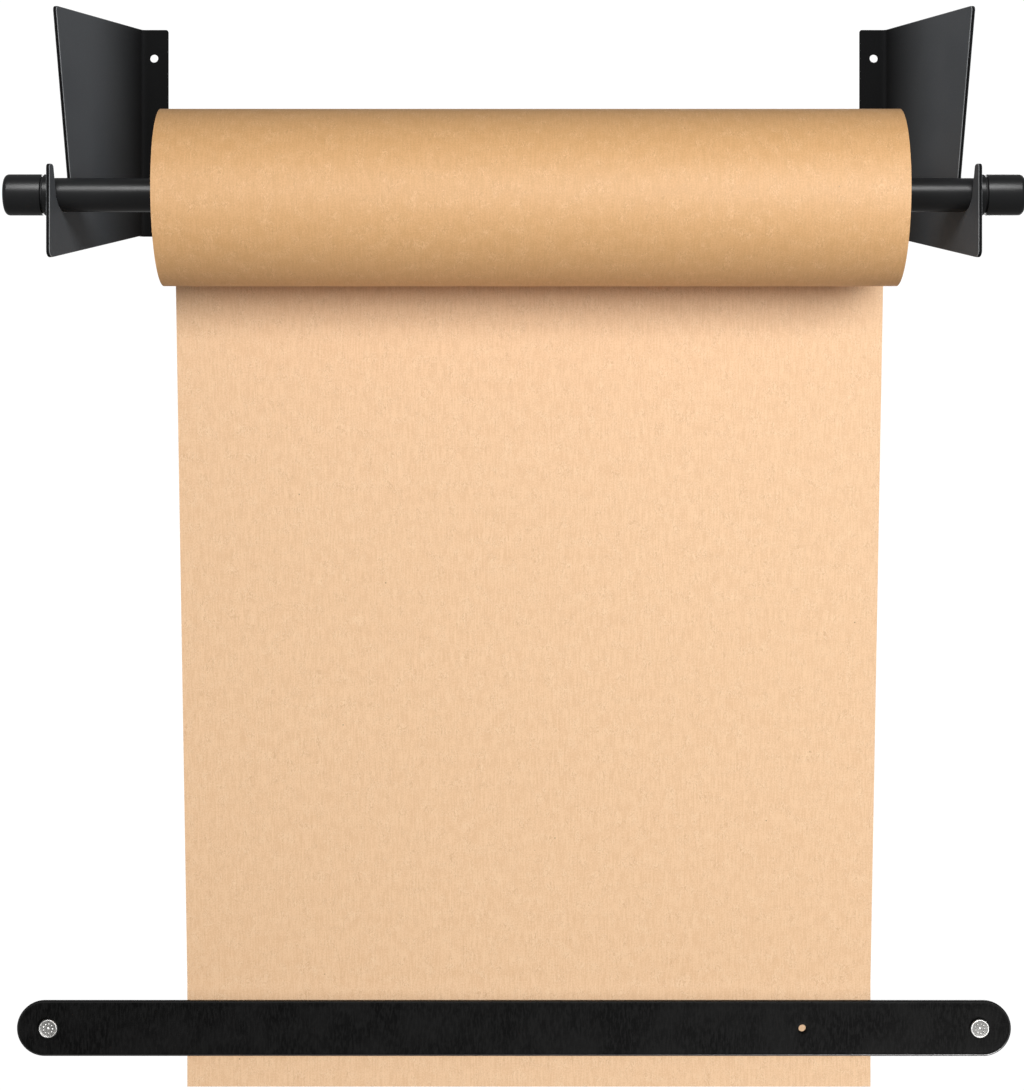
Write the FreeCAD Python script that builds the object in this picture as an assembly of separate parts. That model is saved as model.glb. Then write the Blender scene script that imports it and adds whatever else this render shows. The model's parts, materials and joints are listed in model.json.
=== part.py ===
import FreeCAD, Part

import math
import os

# Wall-mounted holder for a roll of wrapping paper: two folded steel brackets carry a lift-out rod in
# open hooks, the paper hangs from the back of its roll, and a leather strap on press studs holds it
# to the wall and is the edge that it is torn against.
#
# Units are millimetres. X runs along the rod, Z is up, and the wall is the plane Y = 0 with the
# holder in front of it, towards -Y. The origin is the middle of the four fixing holes.
# A "depth" is a distance out from the wall, so depth = -Y.

V = FreeCAD.Vector
CLOSE = 1e-6

# Paper, as bought
PAPER_WIDTH = 457.0
ROLL_D = 109.0
CORE_BORE_D = 25.4
CORE_WALL = 3.0
ROLL_SHIFT = 10.0            # the roll has slid this far to the right along the rod
WEB_T = 0.5                  # thickness given to the single hanging web
WEB_TAIL = 22.0              # how far the web hangs below the strap
WEB_BEND_R = 60.0
WEB_BEND_ABOVE = 8.0         # the web lies flat on the wall from this far above the strap

# Folded steel brackets
PLATE_T = 2.5
BEND_R = 2.5                 # inside radius of the fold
SPLAY = 15.0                 # degrees that each side plate leans outwards
SIDE_ROOM = 20.0             # from the paper's edge to a side plate, at the wall
FLANGE_W = 20.0
FLANGE_H = 138.0
FLANGE_CORNER_R = 1.5
HOLE_D = 5.5
HOLE_EDGE = 9.5              # hole to the flange's free edge
HOLE_INSET = 19.0            # hole to the flange's top or bottom edge
TOP_FALL = 11.0              # the top edge falls by this much to the front
BOTTOM_FALL = 30.0           # and the bottom edge by this much
TOP_CORNER_R = 2.5
BOTTOM_CORNER_R = 4.0
SLOT_LEAN = 11.0             # degrees that the hook's slot leans forward
FINGER_ROOT = 8.6            # width of the hook's finger beside the rod
FINGER_RISE = 16.8           # finger tip above the rod's axis
FINGER_TIP_R = 2.3

# Rod and its ends
TUBE_D = 21.0
TUBE_WALL = 2.0
ROD_DEPTH = 119.0
ROD_DROP = 57.5              # rod axis below the middle of the fixing holes
COLLAR_D = 25.4
COLLAR_L = 3.8
WASHER_D = 22.4
WASHER_T = 1.2
KNOB_D = 25.4
KNOB_L = 23.4
KNOB_EDGE_R = 3.0
CONE_TURN = 45.0             # degrees of a rounded edge that each short cone stands for
STUD_D = 8.0
STUD_IN_PLUG = 16.0
STUD_IN_KNOB = 14.0
BORE_SPARE = 3.0             # a blind bore is this much deeper than its stud
PLUG_L = 20.0
EDGE_BREAK = 0.5             # small chamfer on turned edges

# Strap and its press studs
STRAP_L = 662.0
STRAP_W = 37.0
STRAP_T = 3.5
STRAP_EDGE = 0.8             # bevel along the strap's front edge
STRAP_DROP = 597.0           # strap centre line below the middle of the fixing holes
STRAP_STAND = 5.6            # back of the strap out from the wall
SNAP_INSET = 21.0            # press stud to the strap's end
STRAP_HOLE_D = 5.0
HOLE_FROM_SNAP = 118.0       # small hole to the right-hand press stud
CAP_D = 12.5
CAP_H = 1.7
CAP_EDGE = 0.5               # slope round the outside of the cap's raised rim
CAP_RIM_W = 0.95             # from the cap's side to the inside of its rim
CAP_SINK = 0.55              # the cap's face lies this far below its rim
POST_D = 4.0
POST_FLARE_D = 5.6
POST_FLARE_T = 0.4
SOCKET_D = 11.6
SOCKET_FLOOR = 0.6
SOCKET_LIP = 0.8
FOOT_D = 12.0
FOOT_T = 1.0
NECK_D = 6.6
BEAD_D = 7.4
NECK_L = 1.3
BEAD_L = 1.6
SCREW_D = 3.0
SCREW_NECK_D = 3.9           # plain neck under the head, inside the stud
SCREW_HEAD_D = 5.2
SCREW_HEAD_T = 1.3
SCREW_L = 25.0
SCREW_POINT = 4.0

# Clearances
FIT = 0.05                   # radial, between pieces that are pushed or screwed together
RUN = 0.3                    # between pieces that move past each other
SLOT_CLEAR = 0.4             # rod to its slot
COLLAR_CLEAR = 0.3           # collar to the splayed plate, all the way out of the hook

lean = math.radians(SLOT_LEAN)
splay = math.radians(SPLAY)
edge_cones = round(math.pi / 2 / math.radians(CONE_TURN))
tube_r = TUBE_D / 2
rod_z = -ROD_DROP
strap_z = -STRAP_DROP
half_gap = PAPER_WIDTH / 2 + SIDE_ROOM
flange_top = FLANGE_H / 2


# ---------------------------------------------------------------- outlines and turned pieces
def corner_arc(before, corner, after, radius):
    """Start, middle and end of the arc that rounds a corner of a flat outline."""
    back = (before - corner).normalize()
    ahead = (after - corner).normalize()
    half = back.getAngle(ahead) / 2
    inward = (back + ahead).normalize()
    centre = corner + inward * (radius / math.sin(half))
    reach = radius / math.tan(half)
    return corner + back * reach, centre - inward * radius, corner + ahead * reach


def outline(corners):
    """Face inside a closed outline; each corner is (point, radius)."""
    edges = []
    ends = []
    count = len(corners)
    for i, (point, radius) in enumerate(corners):
        if radius > 0:
            before = corners[i - 1][0]
            after = corners[(i + 1) % count][0]
            start, middle, end = corner_arc(before, point, after, radius)
            ends.append((start, end, Part.Arc(start, middle, end).toShape()))
        else:
            ends.append((point, point, None))
    for i, (start, end, arc) in enumerate(ends):
        if arc:
            edges.append(arc)
        following = ends[(i + 1) % count][0]
        if end.distanceToPoint(following) > CLOSE:
            edges.append(Part.LineSegment(end, following).toShape())
    return Part.Face(Part.Wire(edges))


def turned(profile, centre, along):
    """Solid of revolution; profile corners are (distance along the axis, radius)."""
    side = V(0, 0, 1)
    corners = [(centre + along * a + side * r, 0) for a, r in profile]
    return outline(corners).revolve(centre, along, 360)


def ring(x0, x1, outer_r, inner_r, centre):
    """Tube or washer about an axis along +X."""
    profile = [
        (x0, inner_r),
        (x0, outer_r),
        (x1, outer_r),
        (x1, inner_r),
    ]
    return turned(profile, centre, V(1, 0, 0))


def eased(end, radius, edge_r, cones=edge_cones):
    """Profile corners of an outer edge that is rounded by a few short cones."""
    corners = []
    for i in range(cones + 1):
        turn = math.pi / 2 * i / cones
        corners.append((end - edge_r * (1 - math.sin(turn)), radius - edge_r * (1 - math.cos(turn))))
    return corners


def mirrored(shape):
    return shape.mirror(V(0, 0, 0), V(1, 0, 0))


# ---------------------------------------------------------------- folded steel bracket (right hand)
plate_out = V(math.sin(splay), -math.cos(splay), 0)      # along the side plate, away from the wall
plate_normal = V(math.cos(splay), math.sin(splay), 0)    # from its inner face to its outer face
fold_reach = BEND_R / math.tan(math.pi / 4 + splay / 2)
fold_centre = V(half_gap - fold_reach, -PLATE_T - BEND_R, 0)
plate_start = V(half_gap, -PLATE_T, 0) + plate_out * fold_reach
flange_edge = half_gap - FLANGE_W + PLATE_T
hole_x = flange_edge + HOLE_EDGE
hole_z = flange_top - HOLE_INSET
slot_half_depth = (tube_r + SLOT_CLEAR) / math.cos(lean) + PLATE_T * math.sin(splay) / 2
front_depth = ROD_DEPTH + slot_half_depth + FINGER_ROOT


def outer_face_x(depth):
    """X of the side plate's outer face at a depth out from the wall."""
    return half_gap + (depth - PLATE_T) * math.tan(splay) + PLATE_T / math.cos(splay)


def on_plate(depth, z):
    """Point on the plate's inner face whose mid-thickness lies at this depth."""
    along = (depth + plate_start.y + PLATE_T / 2 * math.sin(splay)) / math.cos(splay)
    return plate_start + plate_out * along + V(0, 0, z)


def plate_corners():
    """The side plate's outline, with the hook's slot, as (point, corner radius)."""
    lean_on_plate = math.atan(math.tan(lean) / math.cos(splay))
    slot_r = slot_half_depth / math.cos(splay) * math.cos(lean_on_plate)
    slot_floor = -tube_r - SLOT_CLEAR
    tip_z = rod_z + FINGER_RISE
    front_top = flange_top - TOP_FALL
    front_bottom = -flange_top - BOTTOM_FALL

    def wall(side, height):
        """Point on the slot's back (-1) or front (+1) wall, at a height above the rod's axis."""
        return on_plate(ROD_DEPTH + side * slot_half_depth + height * math.tan(lean), rod_z + height)

    slope = (wall(1, 1) - wall(1, 0)).normalize()
    across = (wall(1, 0) - wall(-1, 0)).normalize()
    square = (across - slope * across.dot(slope)).normalize()
    floor = on_plate(ROD_DEPTH, rod_z) + slope * (slot_floor / math.cos(lean_on_plate))
    return [
        (plate_start + V(0, 0, flange_top), 0),
        (wall(-1, front_top - rod_z), TOP_CORNER_R),
        (floor - square * slot_r, slot_r),
        (floor + square * slot_r, slot_r),
        (wall(1, FINGER_RISE), FINGER_TIP_R),
        (on_plate(front_depth, tip_z), FINGER_TIP_R),
        (on_plate(front_depth, front_bottom), BOTTOM_CORNER_R),
        (plate_start - V(0, 0, flange_top), 0),
    ]


def fold():
    """The bent strip between the flange and the side plate."""
    def at(radius, angle):
        return fold_centre + V(math.sin(angle), math.cos(angle), 0) * radius

    turn = math.pi / 2 - splay
    outside = BEND_R + PLATE_T
    edges = [
        Part.Arc(at(BEND_R, 0), at(BEND_R, turn / 2), at(BEND_R, turn)).toShape(),
        Part.LineSegment(at(BEND_R, turn), at(outside, turn)).toShape(),
        Part.Arc(at(outside, turn), at(outside, turn / 2), at(outside, 0)).toShape(),
        Part.LineSegment(at(outside, 0), at(BEND_R, 0)).toShape(),
    ]
    strip = Part.Face(Part.Wire(edges)).extrude(V(0, 0, FLANGE_H))
    strip.translate(V(0, 0, -flange_top))
    return strip


def flange():
    """The strip that lies on the wall, with its two fixing holes."""
    corners = [
        (V(flange_edge, 0, -flange_top), FLANGE_CORNER_R),
        (V(fold_centre.x, 0, -flange_top), 0),
        (V(fold_centre.x, 0, flange_top), 0),
        (V(flange_edge, 0, flange_top), FLANGE_CORNER_R),
    ]
    strip = outline(corners).extrude(V(0, -PLATE_T, 0))
    for z in (hole_z, -hole_z):
        hole = Part.makeCylinder(HOLE_D / 2, PLATE_T * 3, V(hole_x, PLATE_T, z), V(0, -1, 0))
        strip = strip.cut(hole)
    return strip


def bracket():
    plate = outline(plate_corners()).extrude(plate_normal * PLATE_T)
    return plate.fuse([fold(), flange()]).removeSplitter()


# ---------------------------------------------------------------- rod, collars and knobs
rod_line = V(0, -ROD_DEPTH, rod_z)
collar_in = outer_face_x(front_depth + PLATE_T * math.sin(splay) / 2) + COLLAR_CLEAR
collar_out = collar_in + COLLAR_L
washer_out = collar_out + WASHER_T
knob_out = washer_out + KNOB_L
stud_r = STUD_D / 2


def rod_tube():
    return ring(-collar_out, collar_out, tube_r, tube_r - TUBE_WALL, rod_line)


def rod_plug():
    """Threaded plug pressed into the tube's end, flush with it."""
    return ring(collar_out - PLUG_L, collar_out, tube_r - TUBE_WALL - FIT, stud_r + FIT, rod_line)


def collar():
    return ring(collar_in, collar_out, COLLAR_D / 2, tube_r + FIT, rod_line)


def washer():
    return ring(collar_out, washer_out, WASHER_D / 2, stud_r + RUN, rod_line)


def knob_stud():
    """Screw that stays in the plug and carries the knob."""
    start = collar_out - STUD_IN_PLUG
    end = washer_out + STUD_IN_KNOB
    profile = [
        (start, 0),
        (start, stud_r),
        *eased(end, stud_r, EDGE_BREAK, 1),
        (end, 0),
    ]
    return turned(profile, rod_line, V(1, 0, 0))


def knob():
    """End knob with a blind bore, which screws up against the washer."""
    bore_r = stud_r + 2 * FIT
    bore_end = washer_out + STUD_IN_KNOB + BORE_SPARE
    profile = [
        (washer_out, bore_r),
        (washer_out, KNOB_D / 2),
        *eased(knob_out, KNOB_D / 2, KNOB_EDGE_R),
        (knob_out, 0),
        (bore_end, 0),
        (bore_end, bore_r),
    ]
    return turned(profile, rod_line, V(1, 0, 0))


# ---------------------------------------------------------------- paper
core_bore_r = CORE_BORE_D / 2
core_r = core_bore_r + CORE_WALL
roll_r = ROLL_D / 2
roll_z = rod_z - (core_bore_r - tube_r - RUN)
paper_left = ROLL_SHIFT - PAPER_WIDTH / 2
paper_right = ROLL_SHIFT + PAPER_WIDTH / 2
roll_line = V(0, -ROD_DEPTH, roll_z)


def paper_core():
    return ring(paper_left, paper_right, core_r, core_bore_r, roll_line)


def paper_roll():
    return ring(paper_left, paper_right, roll_r, core_r + FIT, roll_line)


def paper_sheet():
    """The web: off the back of the roll, straight down to the wall, then flat behind the strap."""
    half_t = WEB_T / 2
    leave_r = roll_r + RUN + half_t
    bend = V(0, -(RUN + half_t + WEB_BEND_R), strap_z + STRAP_W / 2 + WEB_BEND_ABOVE)
    reach = bend - roll_line
    tilt = math.atan2(reach.y, -reach.z) - math.asin((leave_r - WEB_BEND_R) / reach.Length)
    to_wall = V(0, math.cos(tilt), math.sin(tilt))
    halfway = V(0, math.cos(tilt / 2), math.sin(tilt / 2))
    bottom = strap_z - STRAP_W / 2 - WEB_TAIL

    def side(offset):
        """Line of the web's middle, moved by an offset towards the wall."""
        leave = roll_line + to_wall * (leave_r + offset)
        bend_r = WEB_BEND_R + offset
        bend_in = bend + to_wall * bend_r
        bend_mid = bend + halfway * bend_r
        bend_out = bend + V(0, bend_r, 0)
        tail = V(0, bend_out.y, bottom)
        return leave, bend_in, bend_mid, bend_out, tail

    front = side(-half_t)
    back = side(half_t)
    edges = [
        Part.LineSegment(front[0], front[1]).toShape(),
        Part.Arc(front[1], front[2], front[3]).toShape(),
        Part.LineSegment(front[3], front[4]).toShape(),
        Part.LineSegment(front[4], back[4]).toShape(),
        Part.LineSegment(back[4], back[3]).toShape(),
        Part.Arc(back[3], back[2], back[1]).toShape(),
        Part.LineSegment(back[1], back[0]).toShape(),
        Part.LineSegment(back[0], front[0]).toShape(),
    ]
    sheet = Part.Face(Part.Wire(edges)).extrude(V(PAPER_WIDTH, 0, 0))
    sheet.translate(V(paper_left, 0, 0))
    return sheet


# ---------------------------------------------------------------- strap and press studs
strap_back = STRAP_STAND
strap_front = STRAP_STAND + STRAP_T
snap_x = STRAP_L / 2 - SNAP_INSET
stud_top = FOOT_T + NECK_L + BEAD_L
stud_bore_r = SCREW_NECK_D / 2 + FIT
head_seat = stud_top - SCREW_HEAD_T


def stadium(length, width, depth):
    """Face with round ends, square to the wall, at a depth out from it."""
    half_l = length / 2
    half_w = width / 2
    corners = [
        (V(x, -depth, strap_z + z), half_w)
        for x, z in ((-half_l, -half_w), (half_l, -half_w), (half_l, half_w), (-half_l, half_w))
    ]
    return outline(corners)


def strap():
    body = stadium(STRAP_L, STRAP_W, strap_back).extrude(V(0, STRAP_EDGE - STRAP_T, 0))
    edge = stadium(STRAP_L, STRAP_W, strap_front - STRAP_EDGE)
    face = stadium(STRAP_L - 2 * STRAP_EDGE, STRAP_W - 2 * STRAP_EDGE, strap_front)
    body = body.fuse(Part.makeLoft([edge.OuterWire, face.OuterWire], True, True)).removeSplitter()
    post_hole_r = POST_D / 2 + FIT
    small_hole = (snap_x - HOLE_FROM_SNAP, STRAP_HOLE_D / 2)
    holes = [(-snap_x, post_hole_r), (snap_x, post_hole_r), small_hole]
    for x, radius in holes:
        start = V(x, 0, strap_z)
        body = body.cut(Part.makeCylinder(radius, strap_front * 2, start, V(0, -1, 0)))
    return body


def on_snap(profile):
    """A round press-stud piece on the right-hand stud's line; profile runs out from the wall."""
    centre = V(snap_x, 0, strap_z)
    return turned(profile, centre, V(0, -1, 0))


def snap_cap():
    """Cap on the strap's face, with the post that is flared inside the socket."""
    rim = strap_front + CAP_H
    face = rim - CAP_SINK
    floor = strap_back - SOCKET_FLOOR
    post_r = POST_D / 2
    cap_r = CAP_D / 2
    face_r = cap_r - CAP_RIM_W - CAP_SINK
    profile = [
        (floor - POST_FLARE_T, 0),
        (floor - POST_FLARE_T, POST_FLARE_D / 2),
        (floor, POST_FLARE_D / 2),
        (floor, post_r),
        (strap_front, post_r),
        (strap_front, cap_r),
        *eased(rim, cap_r, CAP_EDGE, 1),
        (rim, cap_r - CAP_RIM_W),
        (face, face_r),
        (face, 0),
    ]
    return on_snap(profile)


def snap_socket():
    """Cup on the strap's back, which snaps over the wall stud's bead."""
    mouth = FOOT_T + RUN
    floor = strap_back - SOCKET_FLOOR
    lip_r = BEAD_D / 2 + RUN
    cup_r = SOCKET_D / 2 - SOCKET_LIP
    profile = [
        (mouth, lip_r),
        (mouth, SOCKET_D / 2),
        (strap_back, SOCKET_D / 2),
        (strap_back, POST_D / 2 + FIT),
        (floor, POST_D / 2 + FIT),
        (floor, cup_r),
        (mouth + SOCKET_LIP, cup_r),
        (mouth + SOCKET_LIP, lip_r),
    ]
    return on_snap(profile)


def wall_stud():
    """Stud on the wall: foot, neck and bead, bored for its screw."""
    foot_r = FOOT_D / 2
    neck_r = NECK_D / 2
    bead_r = BEAD_D / 2
    seat_r = SCREW_HEAD_D / 2 + FIT
    profile = [
        (0, stud_bore_r),
        (0, foot_r),
        (FOOT_T, foot_r),
        (FOOT_T, neck_r),
        (FOOT_T + NECK_L, neck_r),
        (FOOT_T + NECK_L, bead_r),
        *eased(stud_top, bead_r, EDGE_BREAK, 1),
        (stud_top, seat_r),
        (head_seat, seat_r),
        (head_seat, stud_bore_r),
    ]
    return on_snap(profile)


def stud_screw():
    """Wood screw through the stud; its shank goes into the wall."""
    shank_r = SCREW_D / 2
    neck_r = SCREW_NECK_D / 2
    profile = [
        (-SCREW_L, 0),
        (SCREW_POINT - SCREW_L, shank_r),
        (0, shank_r),
        (0, neck_r),
        (head_seat, neck_r),
        (head_seat, SCREW_HEAD_D / 2),
        (stud_top, SCREW_HEAD_D / 2),
        (stud_top, 0),
    ]
    return on_snap(profile)


# ---------------------------------------------------------------- export
single_pieces = {
    "rod_tube": rod_tube,
    "paper_core": paper_core,
    "paper_roll": paper_roll,
    "paper_sheet": paper_sheet,
    "strap": strap,
}
handed_pieces = {
    "bracket": bracket,
    "rod_plug": rod_plug,
    "collar": collar,
    "washer": washer,
    "knob_stud": knob_stud,
    "knob": knob,
}
fastener_pairs = {
    "snap_caps": snap_cap,
    "snap_sockets": snap_socket,
    "wall_studs": wall_stud,
    "stud_screws": stud_screw,
}

os.makedirs("parts", exist_ok=True)
for name, make in single_pieces.items():
    make().exportStep("parts/" + name + ".step")
for name, make in handed_pieces.items():
    right = make()
    right.exportStep("parts/right_" + name + ".step")
    mirrored(right).exportStep("parts/left_" + name + ".step")
for name, make in fastener_pairs.items():
    right = make()
    Part.makeCompound([mirrored(right), right]).exportStep("parts/" + name + ".step")
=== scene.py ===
import json
import math
import random

import bmesh
import bpy
from mathutils import Matrix, Vector, noise


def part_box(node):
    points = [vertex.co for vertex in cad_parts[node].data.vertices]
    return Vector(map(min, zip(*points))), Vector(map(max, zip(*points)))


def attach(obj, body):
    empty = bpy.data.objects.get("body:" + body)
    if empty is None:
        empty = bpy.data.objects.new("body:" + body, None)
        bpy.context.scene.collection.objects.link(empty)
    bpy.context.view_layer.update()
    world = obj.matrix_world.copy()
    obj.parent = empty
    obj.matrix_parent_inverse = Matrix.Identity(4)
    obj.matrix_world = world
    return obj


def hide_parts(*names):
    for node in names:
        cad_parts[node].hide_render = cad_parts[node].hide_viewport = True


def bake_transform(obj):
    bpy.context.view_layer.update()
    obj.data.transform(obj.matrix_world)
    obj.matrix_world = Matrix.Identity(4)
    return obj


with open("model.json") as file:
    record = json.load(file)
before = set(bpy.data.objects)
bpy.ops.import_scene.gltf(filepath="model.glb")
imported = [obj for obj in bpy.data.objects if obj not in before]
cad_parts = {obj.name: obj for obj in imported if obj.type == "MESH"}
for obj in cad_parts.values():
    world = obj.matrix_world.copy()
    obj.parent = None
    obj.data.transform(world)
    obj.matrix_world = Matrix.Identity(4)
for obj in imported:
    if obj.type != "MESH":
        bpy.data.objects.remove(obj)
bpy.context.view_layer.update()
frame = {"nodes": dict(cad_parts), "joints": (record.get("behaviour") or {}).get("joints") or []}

# -------------------- wall brackets
# Each bracket is one piece of 2.5 mm steel plate, laser-cut with its hook, then folded once into the
# flange that is screwed to the wall and the side plate that carries the rod. A satin black powder coat
# covers it all. It rounds the cut edges a little. Painted shade darkens the flange, the plate by the
# fold and the cut edges, and a lighter coat paints the highlight along their arrises.

MM = 0.001
TINY = 1e-7
WELD = 10 * TINY
SIDES = (("left", -1), ("right", 1))

PLATE_BLACK = (0.0800, 0.0860, 0.0935, 1)
PLATE_DARK = (0.0705, 0.0760, 0.0830, 1)
FOLD_SHADE_BLACK = (0.0030, 0.0032, 0.0035, 1)
CUT_SHADE_BLACK = (0.0060, 0.0062, 0.0066, 1)
CUT_SHADE_DARK = (0.0040, 0.0042, 0.0045, 1)
ARRIS_HIGHLIGHT = (0.2350, 0.2430, 0.2530, 1)
ARRIS_HIGHLIGHT_DARK = (0.1800, 0.1870, 0.1950, 1)
PALE_SPECK = (2.2, 2.2, 2.2)
PALE_SHARE = 0.5

COAT_DRIFT = 60 * MM
ORANGE_PEEL = 1.3 * MM
POWDER_GRAIN = 0.28 * MM
POWDER_SPECK = 0.55 * MM
SPECKS_PAST = (0.70, 0.78)
GRAIN_TO_PEEL = 0.15

COATED_EDGE = 0.5 * MM
EDGE_STEPS = 3
FLAT_WITHIN = math.radians(1)
SHARP_PAST = math.radians(32)
CUT_PAST = 1.8 * SHARP_PAST
SPLAY = math.radians(15)
BEND_END_X = 249 * MM
WALL_FACING = 0.5
PLATE_FACING = 0.97
CUT_FACING = 0.15
FOLD_X = 244 * MM
FOLD_FADE = 28 * MM
FOLD_DULL = 0.32

TUBE_R = 10.5 * MM
SLOT_CLEAR = 1.3 * MM
SLOT_GAP = 0.06 * MM
SEAT_FROM = 0.5


class Field:
    """One output of a node. Sums and products of fields add their own Math nodes."""

    def __init__(self, tree, socket):
        self.tree = tree
        self.socket = socket

    def __add__(self, other):
        return self.tree.maths("ADD", self, other)

    def __sub__(self, other):
        return self.tree.maths("SUBTRACT", self, other)

    def __rsub__(self, other):
        return self.tree.maths("SUBTRACT", other, self)

    def __mul__(self, other):
        return self.tree.maths("MULTIPLY", self, other)

    def __truediv__(self, other):
        return self.tree.maths("DIVIDE", self, other)

    def __pow__(self, other):
        return self.tree.maths("POWER", self, other)

    __radd__ = __add__
    __rmul__ = __mul__

    def swing(self, amount):
        """Noise of 0 to 1 as a swing to either side of nothing."""
        return (self - 0.5) * amount


class Tree:
    """A node tree whose nodes are all made by node()."""

    def __init__(self, nodes_in):
        self.tree = nodes_in
        self.tree.nodes.clear()

    @staticmethod
    def pick(sockets, key):
        """A socket by its number, its identifier or its name."""
        if isinstance(key, int):
            return sockets[key]
        named = [s for s in sockets if s.identifier == key] or [s for s in sockets if s.name == key]
        return named[0]

    def node(self, kind, settings=None, inputs=None, output=0):
        """A new node, with its settings made first and its sockets given values or links."""
        made = self.tree.nodes.new(kind)
        for name, value in (settings or {}).items():
            setattr(made, name, value)
        for key, value in (inputs or {}).items():
            socket = self.pick(made.inputs, key)
            if isinstance(value, Field):
                self.tree.links.new(value.socket, socket)
            else:
                socket.default_value = value
        if not made.outputs:
            return None
        return Field(self, self.pick(made.outputs, output))

    def maths(self, operation, *terms):
        """One Math node."""
        return self.node("ShaderNodeMath", {"operation": operation}, dict(enumerate(terms)))

    def apart(self, vector):
        """The x, y and z of a vector."""
        parts = self.node("ShaderNodeSeparateXYZ", None, {"Vector": vector}).socket.node.outputs
        return [Field(self, part) for part in parts]

    def step(self, value, start, end):
        """Rises smoothly from 0 to 1 as value goes from start to end."""
        inputs = {"Value": value, "From Min": start, "From Max": end}
        return self.node("ShaderNodeMapRange", {"interpolation_type": "SMOOTHSTEP"}, inputs)


class Paint(Tree):
    """A procedural material."""

    def __init__(self, name):
        self.material = bpy.data.materials.new(name)
        self.material.use_nodes = True
        super().__init__(self.material.node_tree)

    def place(self):
        """Where a point is on the object, in metres."""
        return self.node("ShaderNodeTexCoord", output="Object")

    def moved(self, where, shift=(0, 0, 0), stretch=(1, 1, 1)):
        """A place shifted, and stretched so that a small factor draws the pattern out."""
        return self.node("ShaderNodeMapping", None, {"Vector": where, "Location": shift, "Scale": stretch})

    def cloud(self, where, size, detail=2.0, twist=0.0):
        """Soft noise with lumps of a size in metres."""
        inputs = {"Vector": where, "Scale": 1 / size, "Detail": detail, "Distortion": twist}
        return self.node("ShaderNodeTexNoise", None, inputs)

    def cells(self, where, size, output="Distance"):
        """Cells of a size in metres: how far a point is from its cell's middle, or the cell's colour."""
        return self.node("ShaderNodeTexVoronoi", None, {"Vector": where, "Scale": 1 / size}, output)

    def mix(self, share, first, second):
        """A colour that goes from the first to the second as share rises."""
        inputs = {"Factor_Float": share, "A_Color": first, "B_Color": second}
        return self.node("ShaderNodeMix", {"data_type": "RGBA"}, inputs, "Result_Color")

    def bump(self, height, depth, below=None):
        """A normal from a height of 0 to 1 that stands for a depth in metres."""
        inputs = {"Height": height, "Distance": depth, "Strength": 1.0}
        if below:
            inputs["Normal"] = below
        return self.node("ShaderNodeBump", None, inputs)

    def surface(self, inputs):
        """Ends the material with one shader."""
        shader = self.node("ShaderNodeBsdfPrincipled", None, inputs)
        self.node("ShaderNodeOutputMaterial", None, {"Surface": shader})
        return self.material


def tinted(colour, shares):
    """A colour with its red, green and blue each multiplied by a share."""
    return tuple(share * c for share, c in zip(shares, colour)) + (1,)


def powder_coat(name, light, dark, roughness, peel, sheen, fold_shaded=False):
    """Baked black powder: orange-peel skin, fine grain, pale specks, and, if asked, painted shade by the
    fold.
    """
    paint = Paint(name)
    where = paint.place()
    drift = paint.cloud(where, COAT_DRIFT)
    skin = paint.cloud(where, ORANGE_PEEL, 3)
    grain = paint.cloud(where, POWDER_GRAIN)
    speck = paint.step(paint.cloud(where, POWDER_SPECK, 1), *SPECKS_PAST)
    tone = paint.mix(paint.step(drift, 0.35, 0.65), dark, light)
    tone = paint.mix(speck * PALE_SHARE, tone, tinted(light, PALE_SPECK))
    gloss = roughness + skin.swing(0.10) + drift.swing(0.08)
    # Painted shade: near-black over the flange, fading out along the side plate past the fold, with a
    # duller gloss.
    if fold_shaded:
        out_from_middle = paint.maths("ABSOLUTE", paint.apart(where)[0])
        fold_shade = 1 - paint.step(out_from_middle, FOLD_X, FOLD_X + FOLD_FADE)
        tone = paint.mix(fold_shade, tone, FOLD_SHADE_BLACK)
        gloss = gloss + fold_shade * FOLD_DULL
    return paint.surface({
        "Base Color": tone,
        "Roughness": gloss,
        "Specular IOR Level": sheen,
        "Normal": paint.bump(grain, peel * GRAIN_TO_PEEL, paint.bump(skin, peel)),
    })


# The plate's coat carries painted shade over the flange and by the fold.
plate_coat_and_fold_shade = powder_coat("plate_coat_and_fold_shade", PLATE_BLACK, PLATE_DARK, roughness=0.44, peel=0.035 * MM, sheen=0.10,
                         fold_shaded=True)
# Painted shade: the cut edges are coated near-black.
cut_edge_shade = powder_coat("cut_edge_shade", CUT_SHADE_BLACK, CUT_SHADE_DARK, roughness=0.50, peel=0.02 * MM, sheen=0.12)
# Painted highlight: the arrises get a lighter, glossier coat.
arris_highlight_coat = powder_coat("arris_highlight_coat", ARRIS_HIGHLIGHT, ARRIS_HIGHLIGHT_DARK, roughness=0.36, peel=0.01 * MM, sheen=0.40)
tube_low, tube_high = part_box("rod_tube")
rod_y = (tube_low.y + tube_high.y) / 2
rod_z = (tube_low.z + tube_high.z) / 2


def mesh_of(name, shape, sharp=SHARP_PAST):
    """A bmesh as a smooth-shaded mesh, with its creases kept sharp."""
    mesh = bpy.data.meshes.new(name)
    shape.to_mesh(mesh)
    shape.free()
    mesh.shade_smooth()
    mesh.set_sharp_from_angle(angle=sharp)
    return mesh


def placed(name, data):
    """A new object in the scene."""
    made = bpy.data.objects.new(name, data)
    bpy.context.scene.collection.objects.link(made)
    return made


def fix(name, mesh, body, slot, stands_for, *materials):
    """Makes a finished piece: it rides on a body and stands for its plain solids."""
    piece = placed(name, mesh)
    for material in materials:
        mesh.materials.append(material)
    if body:
        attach(piece, body)
    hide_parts(*stands_for)
    return piece


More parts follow.
